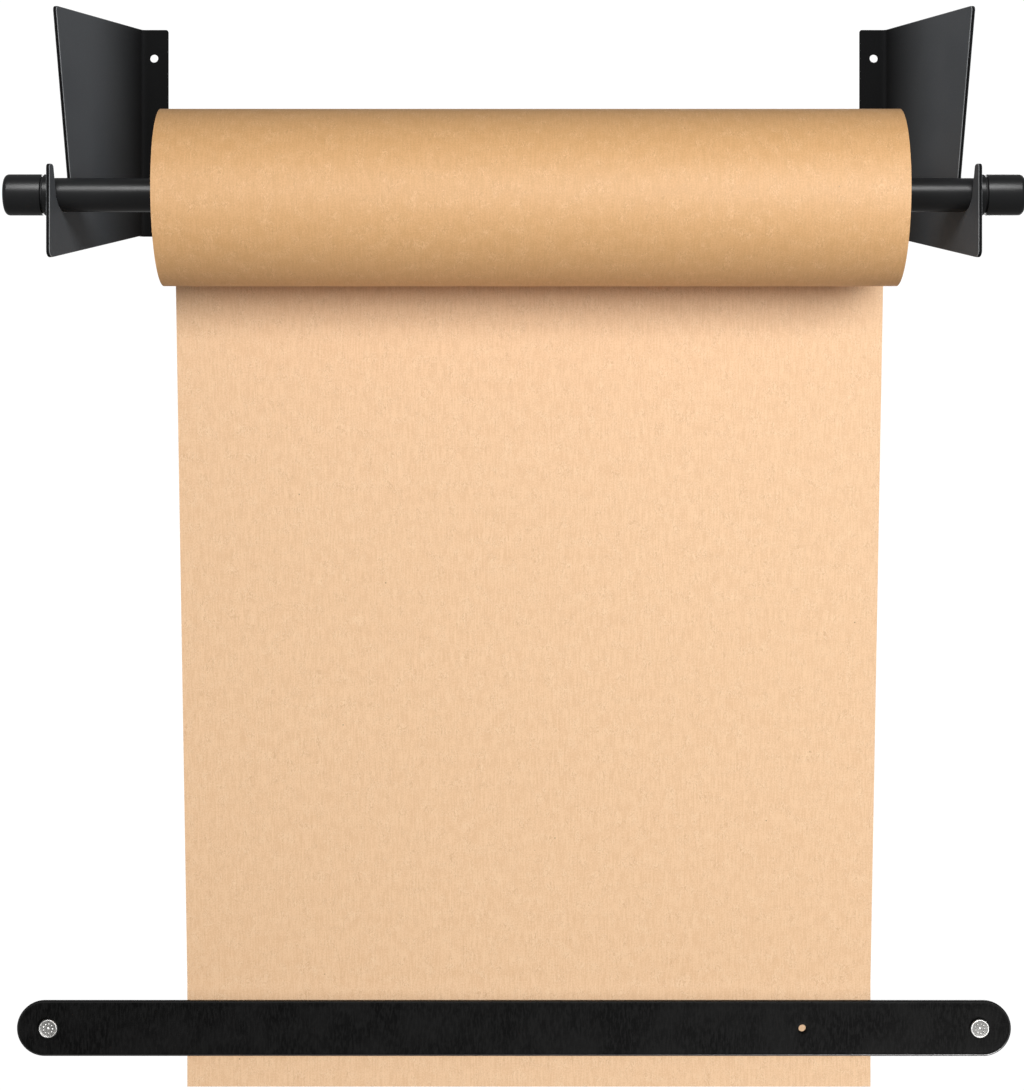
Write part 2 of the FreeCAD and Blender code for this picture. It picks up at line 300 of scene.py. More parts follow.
def seated(point):
    """A point of the plate; on the floor of its slot the coat is built up to carry the tube."""
    spoke = Vector((point.y - rod_y, point.z - rod_z))
    if spoke.y > 0 or spoke.length > TUBE_R + SLOT_CLEAR:
        return point
    share = min(1.0, -spoke.y / (SEAT_FROM * TUBE_R))
    spoke = spoke.lerp(spoke.normalized() * (TUBE_R + SLOT_GAP), share)
    return Vector((point.x, rod_y + spoke.x, rod_z + spoke.y))


def coat_of(face):
    """Which coat: 0 on the plate's sides, 1 on its laser-cut edge (painted shade), 2 on the arris between
    (painted highlight).
    """
    middle = face.calc_center_median()
    plate = Vector((math.cos(SPLAY) * math.copysign(1, middle.x), math.sin(SPLAY), 0))
    if abs(middle.x) < BEND_END_X or face.normal.y > WALL_FACING:
        return 0
    lean = abs(face.normal.dot(plate))
    if lean > PLATE_FACING:
        return 0
    return 1 if lean < CUT_FACING else 2


def plate_mesh(name, hand):
    """The right plate's solid, with its flat faces joined up and its cut edges rounded; hand mirrors it."""
    solid = frame["nodes"]["right_bracket"].data
    shape = bmesh.new()
    points = [shape.verts.new(seated(v.co)) for v in solid.vertices]
    for polygon in solid.polygons:
        shape.faces.new([points[i] for i in polygon.vertices])
    bmesh.ops.remove_doubles(shape, verts=shape.verts, dist=WELD)
    bmesh.ops.dissolve_limit(shape, angle_limit=FLAT_WITHIN, verts=shape.verts, edges=shape.edges)
    cut_edges = [e for e in shape.edges if e.calc_face_angle(0) > CUT_PAST]
    bmesh.ops.bevel(shape, geom=cut_edges, offset=COATED_EDGE, segments=EDGE_STEPS, profile=0.5,
                    affect="EDGES", clamp_overlap=True)
    for face in shape.faces:
        face.material_index = coat_of(face)
    bmesh.ops.scale(shape, vec=(hand, 1, 1), verts=shape.verts)
    bmesh.ops.recalc_face_normals(shape, faces=shape.faces)
    return mesh_of(name, shape)


for side, hand in SIDES:
    mesh = plate_mesh(side + "_wall_bracket", hand)
    piece = fix(side + "_wall_bracket", mesh, "wall_frame", "bracket_coat", [side + "_bracket"],
                plate_coat_and_fold_shade, cut_edge_shade, arris_highlight_coat)
    piece.modifiers.new("flat_faces", "WEIGHTED_NORMAL").keep_sharp = True

# -------------------- rod and its collars
# The rod is a 21 mm steel tube, cut square and powder-coated a little smoother than the brackets. A
# collar is pressed on near each end, outside the side plate, and a threaded plug is pressed into the end.

ROD_BLACK = (0.0130, 0.0134, 0.0142, 1)
ROD_DARK = (0.0095, 0.0098, 0.0105, 1)
PLATED_STEEL = (0.60, 0.61, 0.62, 1)
PLATED_DULL = (0.48, 0.48, 0.46, 1)
DULL_PATCH = 4 * MM
HAIRLINE = 0.7 * MM
HAIRLINE_DRAW = (1, 1, 9)
TUBE_BORE = 8.5 * MM
COLLAR_R = 12.7 * MM
PLUG_BORE = 4.05 * MM
FIT = 0.05 * MM
TURNED_EDGE = 0.45 * MM
ARC_STEP = math.radians(15)


def rounded(corners):
    """Points of a closed outline whose corners are (along, out, radius)."""
    points = []
    for i, (along, out, radius) in enumerate(corners):
        corner = Vector((along, out))
        if radius <= 0:
            points.append(corner)
            continue
        back = (Vector(corners[i - 1][:2]) - corner).normalized()
        ahead = (Vector(corners[(i + 1) % len(corners)][:2]) - corner).normalized()
        half = back.angle(ahead) / 2
        centre = corner + (back + ahead).normalized() * (radius / math.sin(half))
        first = corner + back * (radius / math.tan(half)) - centre
        turn = first.angle_signed(corner + ahead * (radius / math.tan(half)) - centre)
        steps = max(2, math.ceil(abs(turn) / ARC_STEP))
        for k in range(steps + 1):
            spoke = first.copy()
            spoke.rotate(Matrix.Rotation(-turn * k / steps, 2))
            points.append(centre + spoke)
    return points


def turned(name, corners, centre, along, around=96):
    """A piece turned on a lathe: a closed outline of (distance along the axis, radius, rounding)."""
    axis = Vector(along)
    across = axis.orthogonal().normalized()
    other = axis.cross(across)
    angles = [math.tau * i / around for i in range(around)]
    spokes = [across * math.cos(a) + other * math.sin(a) for a in angles]
    shape = bmesh.new()
    rings = []
    for distance, radius in rounded(corners):
        heart = Vector(centre) + axis * distance
        if radius < TINY:
            rings.append([shape.verts.new(heart)] * around)
            continue
        rings.append([shape.verts.new(heart + spoke * radius) for spoke in spokes])
    for first, second in zip(rings, rings[1:] + rings[:1]):
        for i in range(around):
            j = (i + 1) % around
            loop = list(dict.fromkeys([first[i], first[j], second[j], second[i]]))
            if len(loop) > 2:
                shape.faces.new(loop)
    bmesh.ops.recalc_face_normals(shape, faces=shape.faces)
    return mesh_of(name, shape)


def sleeve(start, end, bore, radius, edge):
    """The outline of a plain tube or ring whose outer edges are rounded."""
    return [(start, bore, 0), (start, radius, edge), (end, radius, edge), (end, bore, 0)]


def plated_steel(name, bright, dull, roughness):
    """Zinc or nickel plate: bright metal with cloudy dull patches and hairline marks."""
    paint = Paint(name)
    where = paint.place()
    patch = paint.cloud(where, DULL_PATCH, 4)
    marks = paint.cloud(paint.moved(where, stretch=HAIRLINE_DRAW), HAIRLINE)
    return paint.surface({
        "Base Color": paint.mix(paint.step(patch, 0.35, 0.7), bright, dull),
        "Metallic": 1.0,
        "Roughness": roughness + patch.swing(0.25) + marks.swing(0.12),
        "Normal": paint.bump(marks, 0.004 * MM),
    })


rod_coat = powder_coat("rod_coat", ROD_BLACK, ROD_DARK, roughness=0.33, peel=0.006 * MM, sheen=0.46)
zinc = plated_steel("zinc", PLATED_STEEL, PLATED_DULL, roughness=0.34)
collar_low, collar_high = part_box("right_collar")
plug_low, plug_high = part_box("right_rod_plug")
rod_line = (0, rod_y, rod_z)

tube = sleeve(-tube_high.x, tube_high.x, TUBE_BORE, TUBE_R, TURNED_EDGE)
fix("rod", turned("rod", tube, rod_line, (1, 0, 0)), "rod", "rod_coat", ["rod_tube"], rod_coat)

for side, hand in SIDES:
    outward = (hand, 0, 0)
    ring = sleeve(collar_low.x, collar_high.x, TUBE_R + FIT, COLLAR_R, TURNED_EDGE)
    mesh = turned(side + "_rod_collar", ring, rod_line, outward)
    fix(side + "_rod_collar", mesh, "rod", "rod_coat", [side + "_collar"], rod_coat)
    plug = sleeve(plug_low.x, plug_high.x, PLUG_BORE, TUBE_BORE - FIT, TURNED_EDGE)
    mesh = turned(side + "_end_plug", plug, rod_line, outward, around=64)
    fix(side + "_end_plug", mesh, "rod", "zinc_steel", [side + "_rod_plug"], zinc)

# -------------------- knobs and their screws
# Each knob is turned from bar, with a rounded outer edge and a blind threaded hole. It screws on to an
# M8 stud in the rod's plug and pulls up against a thin black nylon washer, which shows as a dark groove.

STUD_R = 4 * MM
STUD_PITCH = 1.25 * MM
THREAD_DEPTH = 0.54
STUD_ROOT_R = STUD_R - THREAD_DEPTH * STUD_PITCH
THREAD_SIDES = 40
ROWS_A_TURN = 8
BLUNT = 0.1 * MM
KNOB_R = 12.7 * MM
KNOB_EDGE = 3 * MM
KNOB_BORE = 4.1 * MM
KNOB_BORE_DEPTH = 17 * MM
WASHER_R = 11.2 * MM
WASHER_BORE = 4.3 * MM
WASHER_EDGE = 0.2 * MM
NYLON_BLACK = (0.010, 0.010, 0.011, 1)
NYLON_PALER = (1.6, 1.6, 1.6)
NYLON_GRAIN = 0.4 * MM


def applied(mesh, name, kind, settings, sizes=None):
    """A mesh with one modifier applied, given its settings and a tree's sizes."""
    holder = placed(name, mesh)
    modifier = holder.modifiers.new(kind.lower(), kind)
    for key, value in settings.items():
        setattr(modifier, key, value)
    for key, value in (sizes or {}).items():
        modifier[key] = value
    bpy.context.view_layer.update()
    done = bpy.data.meshes.new_from_object(holder.evaluated_get(bpy.context.evaluated_depsgraph_get()))
    bpy.data.objects.remove(holder)
    done.name = name
    return done


class Recipe(Tree):
    """A Geometry Nodes tree with named sizes, which is grown into a plain mesh."""

    def __init__(self, name, sizes):
        super().__init__(bpy.data.node_groups.new(name, "GeometryNodeTree"))
        face = self.tree.interface
        face.new_socket("Geometry", in_out="OUTPUT", socket_type="NodeSocketGeometry")
        self.keys = {}
        for size, kind in sizes.items():
            self.keys[size] = face.new_socket(size, in_out="INPUT", socket_type=kind).identifier
        self.given = self.tree.nodes.new("NodeGroupInput")

    def size(self, name):
        """One of the tree's named sizes."""
        return Field(self, self.pick(self.given.outputs, name))

    def finish(self, geometry):
        """Ends the tree: instances made real, and the finish put on."""
        solid = self.node("GeometryNodeRealizeInstances", None, {"Geometry": geometry})
        inputs = {"Geometry": solid, "Material": self.size("Finish")}
        done = self.node("GeometryNodeSetMaterial", None, inputs)
        self.node("NodeGroupOutput", None, {"Geometry": done})

    def grow(self, name, sizes):
        """The tree's result for some sizes, as a plain mesh."""
        by_key = {self.keys[size]: value for size, value in sizes.items()}
        return applied(bpy.data.meshes.new(name), name, "NODES", {"node_group": self.tree}, by_key)


def thread_recipe():
    """A threaded shank along +Z from the origin: one closed skin whose radius follows the helix."""
    number = "NodeSocketFloat"
    recipe = Recipe("threaded_shank", {
        "Length": number, "Pitch": number, "Root": number, "Crest": number, "Point": number,
        "Rows": "NodeSocketInt", "Finish": "NodeSocketMaterial",
    })
    length = recipe.size("Length")
    pitch = recipe.size("Pitch")
    root = recipe.size("Root")
    blank = recipe.node("GeometryNodeMeshCylinder", {"fill_type": "TRIANGLE_FAN"}, {
        "Vertices": THREAD_SIDES, "Side Segments": recipe.size("Rows"), "Radius": root, "Depth": length,
    })
    x, y, from_middle = recipe.apart(recipe.node("GeometryNodeInputPosition"))
    z = from_middle + length * 0.5
    left = length - z
    turn = recipe.maths("ARCTAN2", y, x) / math.tau
    phase = recipe.maths("FRACT", z / pitch - turn)
    ridge = 1 - recipe.maths("ABSOLUTE", phase * 2 - 1)
    fade = recipe.maths("MINIMUM", recipe.maths("MINIMUM", z, left) / pitch, 1.0)
    fade = recipe.maths("MAXIMUM", fade, 0.0)
    taper = recipe.maths("MINIMUM", (left + BLUNT) / (recipe.size("Point") + BLUNT), 1.0)
    radius = (root + (recipe.size("Crest") - root) * ridge * fade) * taper
    factor = radius / root
    moved = recipe.node("ShaderNodeCombineXYZ", None, {"X": x * factor, "Y": y * factor, "Z": z})
    shaped = recipe.node("GeometryNodeSetPosition", None, {"Geometry": blank, "Position": moved})
    recipe.finish(shaped)
    return recipe


def threaded(name, length, pitch, root, crest, point):
    """A zinc-plated threaded shank along +Z, blunt or with a point of some length."""
    return thread.grow(name, {
        "Length": length, "Pitch": pitch, "Root": root, "Crest": crest, "Point": point,
        "Rows": round(length / pitch * ROWS_A_TURN), "Finish": zinc,
    })


def moulded_nylon(name, colour, roughness):
    """Moulded nylon: dull, with a faint moulding grain."""
    paint = Paint(name)
    grain = paint.cloud(paint.place(), NYLON_GRAIN, 3)
    return paint.surface({
        "Base Color": paint.mix(grain, colour, tinted(colour, NYLON_PALER)),
        "Roughness": roughness + grain.swing(0.1),
        "Normal": paint.bump(grain, 0.01 * MM),
    })


def laid(mesh, start, along):
    """Moves a mesh grown along +Z so that it starts at a point and runs along a direction."""
    turn = Vector((0, 0, 1)).rotation_difference(Vector(along)).to_matrix().to_4x4()
    mesh.transform(Matrix.Translation(Vector(start)) @ turn)
    return mesh


nylon = moulded_nylon("nylon", NYLON_BLACK, roughness=0.62)
thread = thread_recipe()
stud_low, stud_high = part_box("right_knob_stud")
washer_low, washer_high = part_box("right_washer")
knob_low, knob_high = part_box("right_knob")
stud_length = stud_high.x - stud_low.x
bore_end = knob_low.x + KNOB_BORE_DEPTH

for side, hand in SIDES:
    outward = (hand, 0, 0)
    mesh = threaded(side + "_m8_stud", stud_length, STUD_PITCH, STUD_ROOT_R, STUD_R, 0.0)
    mesh = laid(mesh, (hand * stud_low.x, rod_y, rod_z), outward)
    fix(side + "_m8_stud", mesh, "rod", "zinc_steel", [side + "_knob_stud"])
    ring = sleeve(washer_low.x, washer_high.x, WASHER_BORE, WASHER_R, WASHER_EDGE)
    mesh = turned(side + "_nylon_washer", ring, rod_line, outward)
    fix(side + "_nylon_washer", mesh, side + "_washer", "washer_black", [side + "_washer"], nylon)
    knob = [
        (knob_low.x, KNOB_BORE, 0),
        (knob_low.x, KNOB_R, TURNED_EDGE),
        (knob_high.x, KNOB_R, KNOB_EDGE),
        (knob_high.x, 0, 0),
        (bore_end, 0, 0),
        (bore_end, KNOB_BORE, 0),
    ]
    mesh = turned(side + "_end_knob", knob, rod_line, outward, around=128)
    fix(side + "_end_knob", mesh, side + "_knob", "rod_coat", [side + "_knob"], rod_coat)

# -------------------- cardboard core
# The paper is wound on a spiral-wound cardboard tube with a 25 mm bore, cut flush with the paper. The
# rod passes through it, and the core rests on the rod.

CORE_R = 15.7 * MM
CORE_BORE = 12.7 * MM
CORE_EDGE = 0.15 * MM
BOARD_LIGHT = (0.47, 0.33, 0.21, 1)
BOARD_DARK = (0.30, 0.205, 0.125, 1)
BOARD_LAYER = 0.5 * MM
LAYERS_A_BAND = 9
ALONG_RING = 0.02
CUT_FUZZ = 0.5 * MM
spin = next(j for j in frame["joints"] if j["name"] == "roll_spin")
roll_y, roll_z = spin["pos_m"][1:]
roll_low, roll_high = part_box("paper_roll")


def ring_lines(paint, where, size):
    """Noise that runs in rings round the roll's axis, like the cut edges of wound layers."""
    y, z = paint.apart(paint.moved(where, shift=(0, -roll_y, -roll_z)))[1:]
    radius = (y * y + z * z) ** 0.5
    inputs = {"X": radius, "Y": y * ALONG_RING, "Z": z * ALONG_RING}
    return paint.cloud(paint.node("ShaderNodeCombineXYZ", None, inputs), size)


def wound_edges(name, light, dark, layer):
    """The cut ends of wound paper or board: fine rings of lighter and darker layers."""
    paint = Paint(name)
    where = paint.place()
    layers = ring_lines(paint, where, layer)
    bands = ring_lines(paint, where, layer * LAYERS_A_BAND)
    fuzz = paint.cloud(where, CUT_FUZZ, 3)
    tone = paint.mix(paint.step(layers, 0.35, 0.65), dark, light)
    tone = paint.mix(paint.step(bands, 0.58, 0.75) * 0.45, tone, dark)
    return paint.surface({
        "Base Color": tone,
        "Roughness": 0.78 + fuzz.swing(0.15),
        "Specular IOR Level": 0.3,
        "Normal": paint.bump(fuzz, 0.02 * MM, paint.bump(layers, 0.08 * MM)),
    })


board = wound_edges("core_board", BOARD_LIGHT, BOARD_DARK, BOARD_LAYER)
roll_line = (0, roll_y, roll_z)
core = sleeve(roll_low.x, roll_high.x, CORE_BORE, CORE_R, CORE_EDGE)
mesh = turned("cardboard_core", core, roll_line, (1, 0, 0))
fix("cardboard_core", mesh, "roll", "core_board", ["paper_core"], board)

# -------------------- roll of kraft paper
# Some eighty metres of thin brown kraft paper are wound tightly on the core. The layers don't lie quite
# flush, so the roll's ends show them as fine rings and small steps.

ROLL_R = 54.5 * MM
WEB_T = 0.24 * MM
STEP_MIN = 0.7 * MM
STEP_MAX = 2.2 * MM
STEP_DEPTH = 0.35 * MM
STEP_SEED = 7
EDGE_LIGHT = (0.62, 0.405, 0.225, 1)
EDGE_DARK = (0.40, 0.235, 0.115, 1)
EDGE_LAYER = 0.22 * MM
roll_end = wound_edges("roll_end", EDGE_LIGHT, EDGE_DARK, EDGE_LAYER)
body_r = ROLL_R - WEB_T


def wound_outline(seed):
    """The roll's outline, with its ends stepped where groups of layers have slid a little."""
    draw = random.Random(seed)
    outline = []
    for end, inward in ((roll_low.x, 1), (roll_high.x, -1)):
        steps = []
        radius = CORE_R + FIT
        while radius < body_r:
            depth = inward * draw.uniform(0, STEP_DEPTH)
            further = min(body_r, radius + draw.uniform(STEP_MIN, STEP_MAX))
            steps += [(end + depth, radius, 0), (end + depth, further, 0)]
            radius = further
        outline += steps if inward > 0 else steps[::-1]
    return outline


mesh = turned("wound_paper", wound_outline(STEP_SEED), roll_line, (1, 0, 0), around=160)
fix("wound_paper", mesh, "roll", "kraft_paper", ["paper_roll"], roll_end)

# -------------------- hanging sheet
# The outermost turn of the roll comes off its back and hangs as a single web, 457 mm wide. It shows its
# glazed face on the roll and its matt face below, leans back to the wall and runs flat behind the strap.

# The glazed face is darker and browner than the matt face: partly the paper's own two sides, partly painted
# shade on the roll.
GLAZED_LIGHT = (0.745, 0.426, 0.186, 1)
GLAZED_DARK = (0.655, 0.360, 0.140, 1)
GLAZED_FIBRE_HIGHLIGHT = (0.95, 0.63, 0.35, 1)
MATT_LIGHT = (0.890, 0.598, 0.362, 1)
MATT_DARK = (0.790, 0.502, 0.284, 1)
MATT_FIBRE_HIGHLIGHT = (0.95, 0.70, 0.46, 1)
FIBRE_SHADE = (0.78, 0.72, 0.66)
KRAFT_SPECK = (0.22, 0.115, 0.05, 1)

PAPER_DRIFT = 150 * MM
PULP_CLUMP = 7 * MM
PULP_SHARE = 0.22
PAPER_GRAIN = 1.0 * MM
PAPER_TOOTH = 0.4 * MM
STREAK_WIDTH = 0.95 * MM
STREAK_DRAW = (1, 0.07, 1)
FIBRE_BAND = 1.9 * MM
FIBRE_DRAW = (1, 0.45, 1)
FIBRE_CURL = 1.6
FIBRE_LIT_AT = 0.50
FIBRE_SHADED_AT = 0.58
FIBRE_CORE = 0.015
FIBRE_RIM = 0.050
FIBRE_CLUSTER = 9 * MM
SPECK_APART = 14 * MM
SPECK_CORE = 0.018
SPECK_RIM = 0.042
SPECK_SHARE = 0.75
CELLS_WITH_SPECK = (0.86, 0.88)

WEB_BEND_R = 60 * MM
BEND_ABOVE = 8 * MM
BEND_STEPS = 8
WALL_SPACE = 0.25 * MM
WRAP_TURN = math.radians(349)
WRAP_STEP = math.radians(3)
WRAP_SINK = 0.22 * MM
PATH_STEP = 6 * MM
COLUMNS = 64
SHEET_WAVE = 0.18 * MM
WAVES_ACROSS = 7
WAVES_ALONG = 3
sheet_low, sheet_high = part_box("paper_sheet")
strap_low, strap_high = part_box("strap")


def kraft(name, light, dark, fibre_highlight, roughness, glaze, streaks, fibre_light_and_shade, relief):
    """Brown kraft paper: pulp, streaks along the web, fibres with a painted lit and shaded side, dark
    specks.
    """
    paint = Paint(name)
    web = paint.node("ShaderNodeUVMap", {"uv_map": "web"})
    drift = paint.cloud(web, PAPER_DRIFT, 1)
    pulp = paint.cloud(web, PULP_CLUMP, 5)
    grain = paint.cloud(web, PAPER_GRAIN, 3)
    tooth = paint.cloud(web, PAPER_TOOTH)
    streak = paint.cloud(paint.moved(web, stretch=STREAK_DRAW), STREAK_WIDTH, 3)
    blend = pulp * PULP_SHARE + streak * streaks + grain * (1 - PULP_SHARE - streaks)
    tone = paint.mix(paint.step(blend, 0.40, 0.60), dark, light)
    tone = paint.mix(paint.step(drift, 0.3, 0.7) * 0.12, tone, dark)

    # Painted highlight and shade: each fibre is a lighter line with a darker line beside it.
    cluster = paint.step(paint.cloud(web, FIBRE_CLUSTER, 3), 0.40, 0.66)
    line = paint.cloud(paint.moved(web, stretch=FIBRE_DRAW), FIBRE_BAND, 2, FIBRE_CURL)
    lit, shaded = [
        (1 - paint.step(paint.maths("ABSOLUTE", line - level), FIBRE_CORE, FIBRE_RIM)) * cluster
        for level in (FIBRE_LIT_AT, FIBRE_SHADED_AT)
    ]
    tone = paint.mix(lit * fibre_light_and_shade, tone, fibre_highlight)
    tone = paint.mix(shaded * fibre_light_and_shade, tone, tinted(dark, FIBRE_SHADE))

    dot = 1 - paint.step(paint.cells(web, SPECK_APART), SPECK_CORE, SPECK_RIM)
    draw = paint.node("ShaderNodeSeparateColor", None, {"Color": paint.cells(web, SPECK_APART, "Color")})
    tone = paint.mix(dot * paint.step(draw, *CELLS_WITH_SPECK) * SPECK_SHARE, tone, KRAFT_SPECK)
    height = tooth * 0.25 + streak * 0.35 + lit * 0.40
    return paint.surface({
        "Base Color": tone,
        "Roughness": roughness + pulp.swing(0.12),
        "Specular IOR Level": 1.0,
        "IOR": glaze,
        "Normal": paint.bump(height, relief),
    })


# The glazed face's darker colour is partly painted shade on the roll.
glazed_face_and_shade = kraft("glazed_face_and_shade", GLAZED_LIGHT, GLAZED_DARK, GLAZED_FIBRE_HIGHLIGHT, roughness=0.60, glaze=1.48,
                    streaks=0.30, fibre_light_and_shade=0.36, relief=0.012 * MM)
matt_face = kraft("matt_face", MATT_LIGHT, MATT_DARK, MATT_FIBRE_HIGHLIGHT, roughness=0.62, glaze=1.35,
                  streaks=0.36, fibre_light_and_shade=0.46, relief=0.032 * MM)


def aim(angle):
    """A unit vector at an angle."""
    return Vector((math.cos(angle), math.sin(angle)))


def straight(start, end):
    """Points of a straight run of the web after its start."""
    steps = math.ceil((end - start).length / PATH_STEP)
    return [start.lerp(end, i / steps) for i in range(1, steps + 1)]


def web_path():
    """Points (y, z) along the web's middle to its cut edge, and which one is where it leaves the roll."""
    leave_r = ROLL_R + WEB_T * 0.5
    axis = Vector((roll_y, roll_z))
    flat_y = sheet_high.y - WALL_SPACE
    bend = Vector((flat_y - WEB_BEND_R, strap_high.z + BEND_ABOVE))
    reach = bend - axis
    tilt = math.atan2(reach.x, -reach.y) - math.asin((leave_r - WEB_BEND_R) / reach.length)
    points = []
    wrap_steps = math.ceil(WRAP_TURN / WRAP_STEP)
    for i in range(wrap_steps + 1):
        share = i / wrap_steps
        angle = tilt + WRAP_TURN * (1 - share)
        radius = leave_r - WRAP_SINK * (1 - share)
        points.append(axis + aim(angle) * radius)
    points += straight(axis + aim(tilt) * leave_r, bend + aim(tilt) * WEB_BEND_R)
    for i in range(1, BEND_STEPS + 1):
        points.append(bend + aim(tilt * (1 - i / BEND_STEPS)) * WEB_BEND_R)
    points += straight(points[-1], Vector((flat_y, sheet_low.z)))
    return points, wrap_steps


def web_mesh(name):
    """The web's middle surface, with its own lengths as its UV map, and its flat length."""
    path, leaving = web_path()
    lengths = [0.0]
    for before, after in zip(path, path[1:]):
        lengths.append(lengths[-1] + (after - before).length)
    hang = lengths[-1] - lengths[leaving]
    width = sheet_high.x - sheet_low.x
    across = [sheet_low.x + width * k / COLUMNS for k in range(COLUMNS + 1)]
    shape = bmesh.new()
    rows = []
    for point, length in zip(path, lengths):
        share = max(0.0, (length - lengths[leaving]) / hang)
        row = []
        for x in across:
            ripple = noise.noise(Vector((x * WAVES_ACROSS, length * WAVES_ALONG, 0.5)))
            lift = SHEET_WAVE * ripple * math.sin(math.pi * min(1, share)) ** 2
            row.append(shape.verts.new((x, point.x + lift, point.y)))
        rows.append(row)
    layer = shape.loops.layers.uv.new("web")
    for i, (upper, lower) in enumerate(zip(rows, rows[1:])):
        for k in range(COLUMNS):
            face = shape.faces.new((upper[k], upper[k + 1], lower[k + 1], lower[k]))
            corners = ((k, i), (k + 1, i), (k + 1, i + 1), (k, i + 1))
            for loop, (column, row) in zip(face.loops, corners):
                loop[layer].uv = (across[column], lengths[row])
    return mesh_of(name, shape), lengths[-1]


mesh, web_length = web_mesh("hanging_web")
for face in (glazed_face_and_shade, matt_face):
    mesh.materials.append(face)
mesh = applied(mesh, "hanging_web", "SOLIDIFY", {"thickness": WEB_T, "offset": 0.0, "material_offset": 1})
mesh.set_sharp_from_angle(angle=SHARP_PAST)
web = fix("hanging_web", mesh, None, "kraft_paper", ["paper_sheet"])
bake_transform(web)

# -------------------- leather strap
# The strap is cut from 3.5 mm black bridle leather with round ends and a line creased along its border.
# The edge of its face is rounded over, dyed and burnished, and it is pressed in round each press stud.

LEATHER_BLACK = (0.0025, 0.0025, 0.0025, 1)
LEATHER_WORN = (0.0140, 0.0139, 0.0137, 1)
EDGE_BLACK = (0.006, 0.006, 0.006, 1)
BLOOM = 22 * MM
PEBBLE = 0.75 * MM
PEBBLE_DRAW = (0.8, 1, 1)
WRINKLE = 2.2 * MM
WRINKLE_DRAW = (1, 1, 0.45)
WRINKLE_CURL = 0.6
HAIR_MARK = 1.1 * MM
HAIR_DRAW = (1, 1, 0.2)
PORE = 0.22 * MM
HIDE_LAYER = 0.5 * MM
LAYER_DRAW = (0.12, 1, 1)

STRAP_ROUND = 1.2 * MM
STRAP_BACK_ROUND = 0.5 * MM
STRAIGHT_STEP = 4 * MM
END_STEPS = 40
EDGE_ARC_STEPS = 6
FACE_INSETS = (1, 0.86, 0.72, 0.58, 0.44, 0.3)
BACK_INSETS = (0.12, 0.3, 0.55, 0.8, 1)
CREASE_IN = 1.5 * MM
CREASE_STEEP = 0.5 * MM
CREASE_GENTLE = 1.6 * MM
CREASE_DEEP = 0.08 * MM
STRAP_SHARP = math.radians(60)
HOLE_SHARP = math.radians(50)

SNAP_X = 310 * MM
CAP_R = 6.25 * MM
POST_HOLE_R = 2.05 * MM
SMALL_HOLE_X = 192 * MM
SMALL_HOLE_R = 2.5 * MM
HOLE_LIP = 0.35 * MM
PUNCH_PAST = 1 * MM
LEATHER_DIP = 0.22 * MM
DIP_REACH = 2.2 * MM
UNEVEN = 0.06 * MM
UNEVEN_WAVES = 45
strap_z = (strap_low.z + strap_high.z) / 2
strap_r = (strap_high.z - strap_low.z) / 2


def leather(name):
    """Black bridle leather: close pebble grain, fine wrinkles, hair marks and a slightly greyer bloom."""
    paint = Paint(name)
    where = paint.place()
    bloom = paint.cloud(where, BLOOM, 4)
    pebble = paint.cells(paint.moved(where, stretch=PEBBLE_DRAW), PEBBLE)
    wrinkle = paint.cloud(paint.moved(where, stretch=WRINKLE_DRAW), WRINKLE, 5, WRINKLE_CURL)
    hair = paint.cloud(paint.moved(where, stretch=HAIR_DRAW), HAIR_MARK, 3)
    pore = paint.cloud(where, PORE)
    tone = paint.mix(paint.step(bloom, 0.35, 0.7) * 0.6, LEATHER_BLACK, LEATHER_WORN)
    tone = paint.mix(paint.step(wrinkle, 0.45, 0.7) * 0.6, tone, LEATHER_WORN)
    tone = paint.mix(paint.step(hair, 0.45, 0.65) * 0.7, tone, LEATHER_WORN)
    relief = (1 - pebble) * 0.55 + wrinkle * 0.35 + pore * 0.1
    return paint.surface({
        "Base Color": tone,
        "Roughness": 0.56 + wrinkle.swing(0.16) + bloom.swing(0.1),
        "Specular IOR Level": 0.09,
        "Normal": paint.bump(relief, 0.14 * MM),
    })


def burnished(name):
    """The strap's edge: dyed, waxed and rubbed until it shines a little."""
    paint = Paint(name)
    layers = paint.cloud(paint.moved(paint.place(), stretch=LAYER_DRAW), HIDE_LAYER, 3)
    return paint.surface({
        "Base Color": paint.mix(layers, EDGE_BLACK, LEATHER_WORN),
        "Roughness": 0.28 + layers.swing(0.12),
        "Specular IOR Level": 1.0,
        "Normal": paint.bump(layers, 0.02 * MM),
    })


def round_ended(inset):
    """Points (x, z) round the strap, moved inwards by an inset."""
    reach = strap_high.x - strap_r
    steps = round(2 * reach / STRAIGHT_STEP)
    points = []
    for way in (1, -1):
        for i in range(END_STEPS):
            spoke = aim(math.pi * (i / END_STEPS - 0.5)) * (strap_r - inset)
            points.append(Vector((reach, 0)) * way + spoke * way)
        for i in range(steps):
            x = reach * (1 - 2 * i / steps)
            points.append(Vector((x, strap_r - inset)) * way)
    return points


def dip(x, z):
    """How far the leather's face is pressed in beside a press stud, and its slight unevenness."""
    lowest = 0.0
    for snap in (-SNAP_X, SNAP_X):
        away = math.hypot(x - snap, z) - CAP_R
        lowest = max(lowest, LEATHER_DIP * math.exp(-max(0.0, away) / DIP_REACH))
    return lowest + UNEVEN * noise.noise(Vector((x * UNEVEN_WAVES, z * UNEVEN_WAVES, 3.0)))


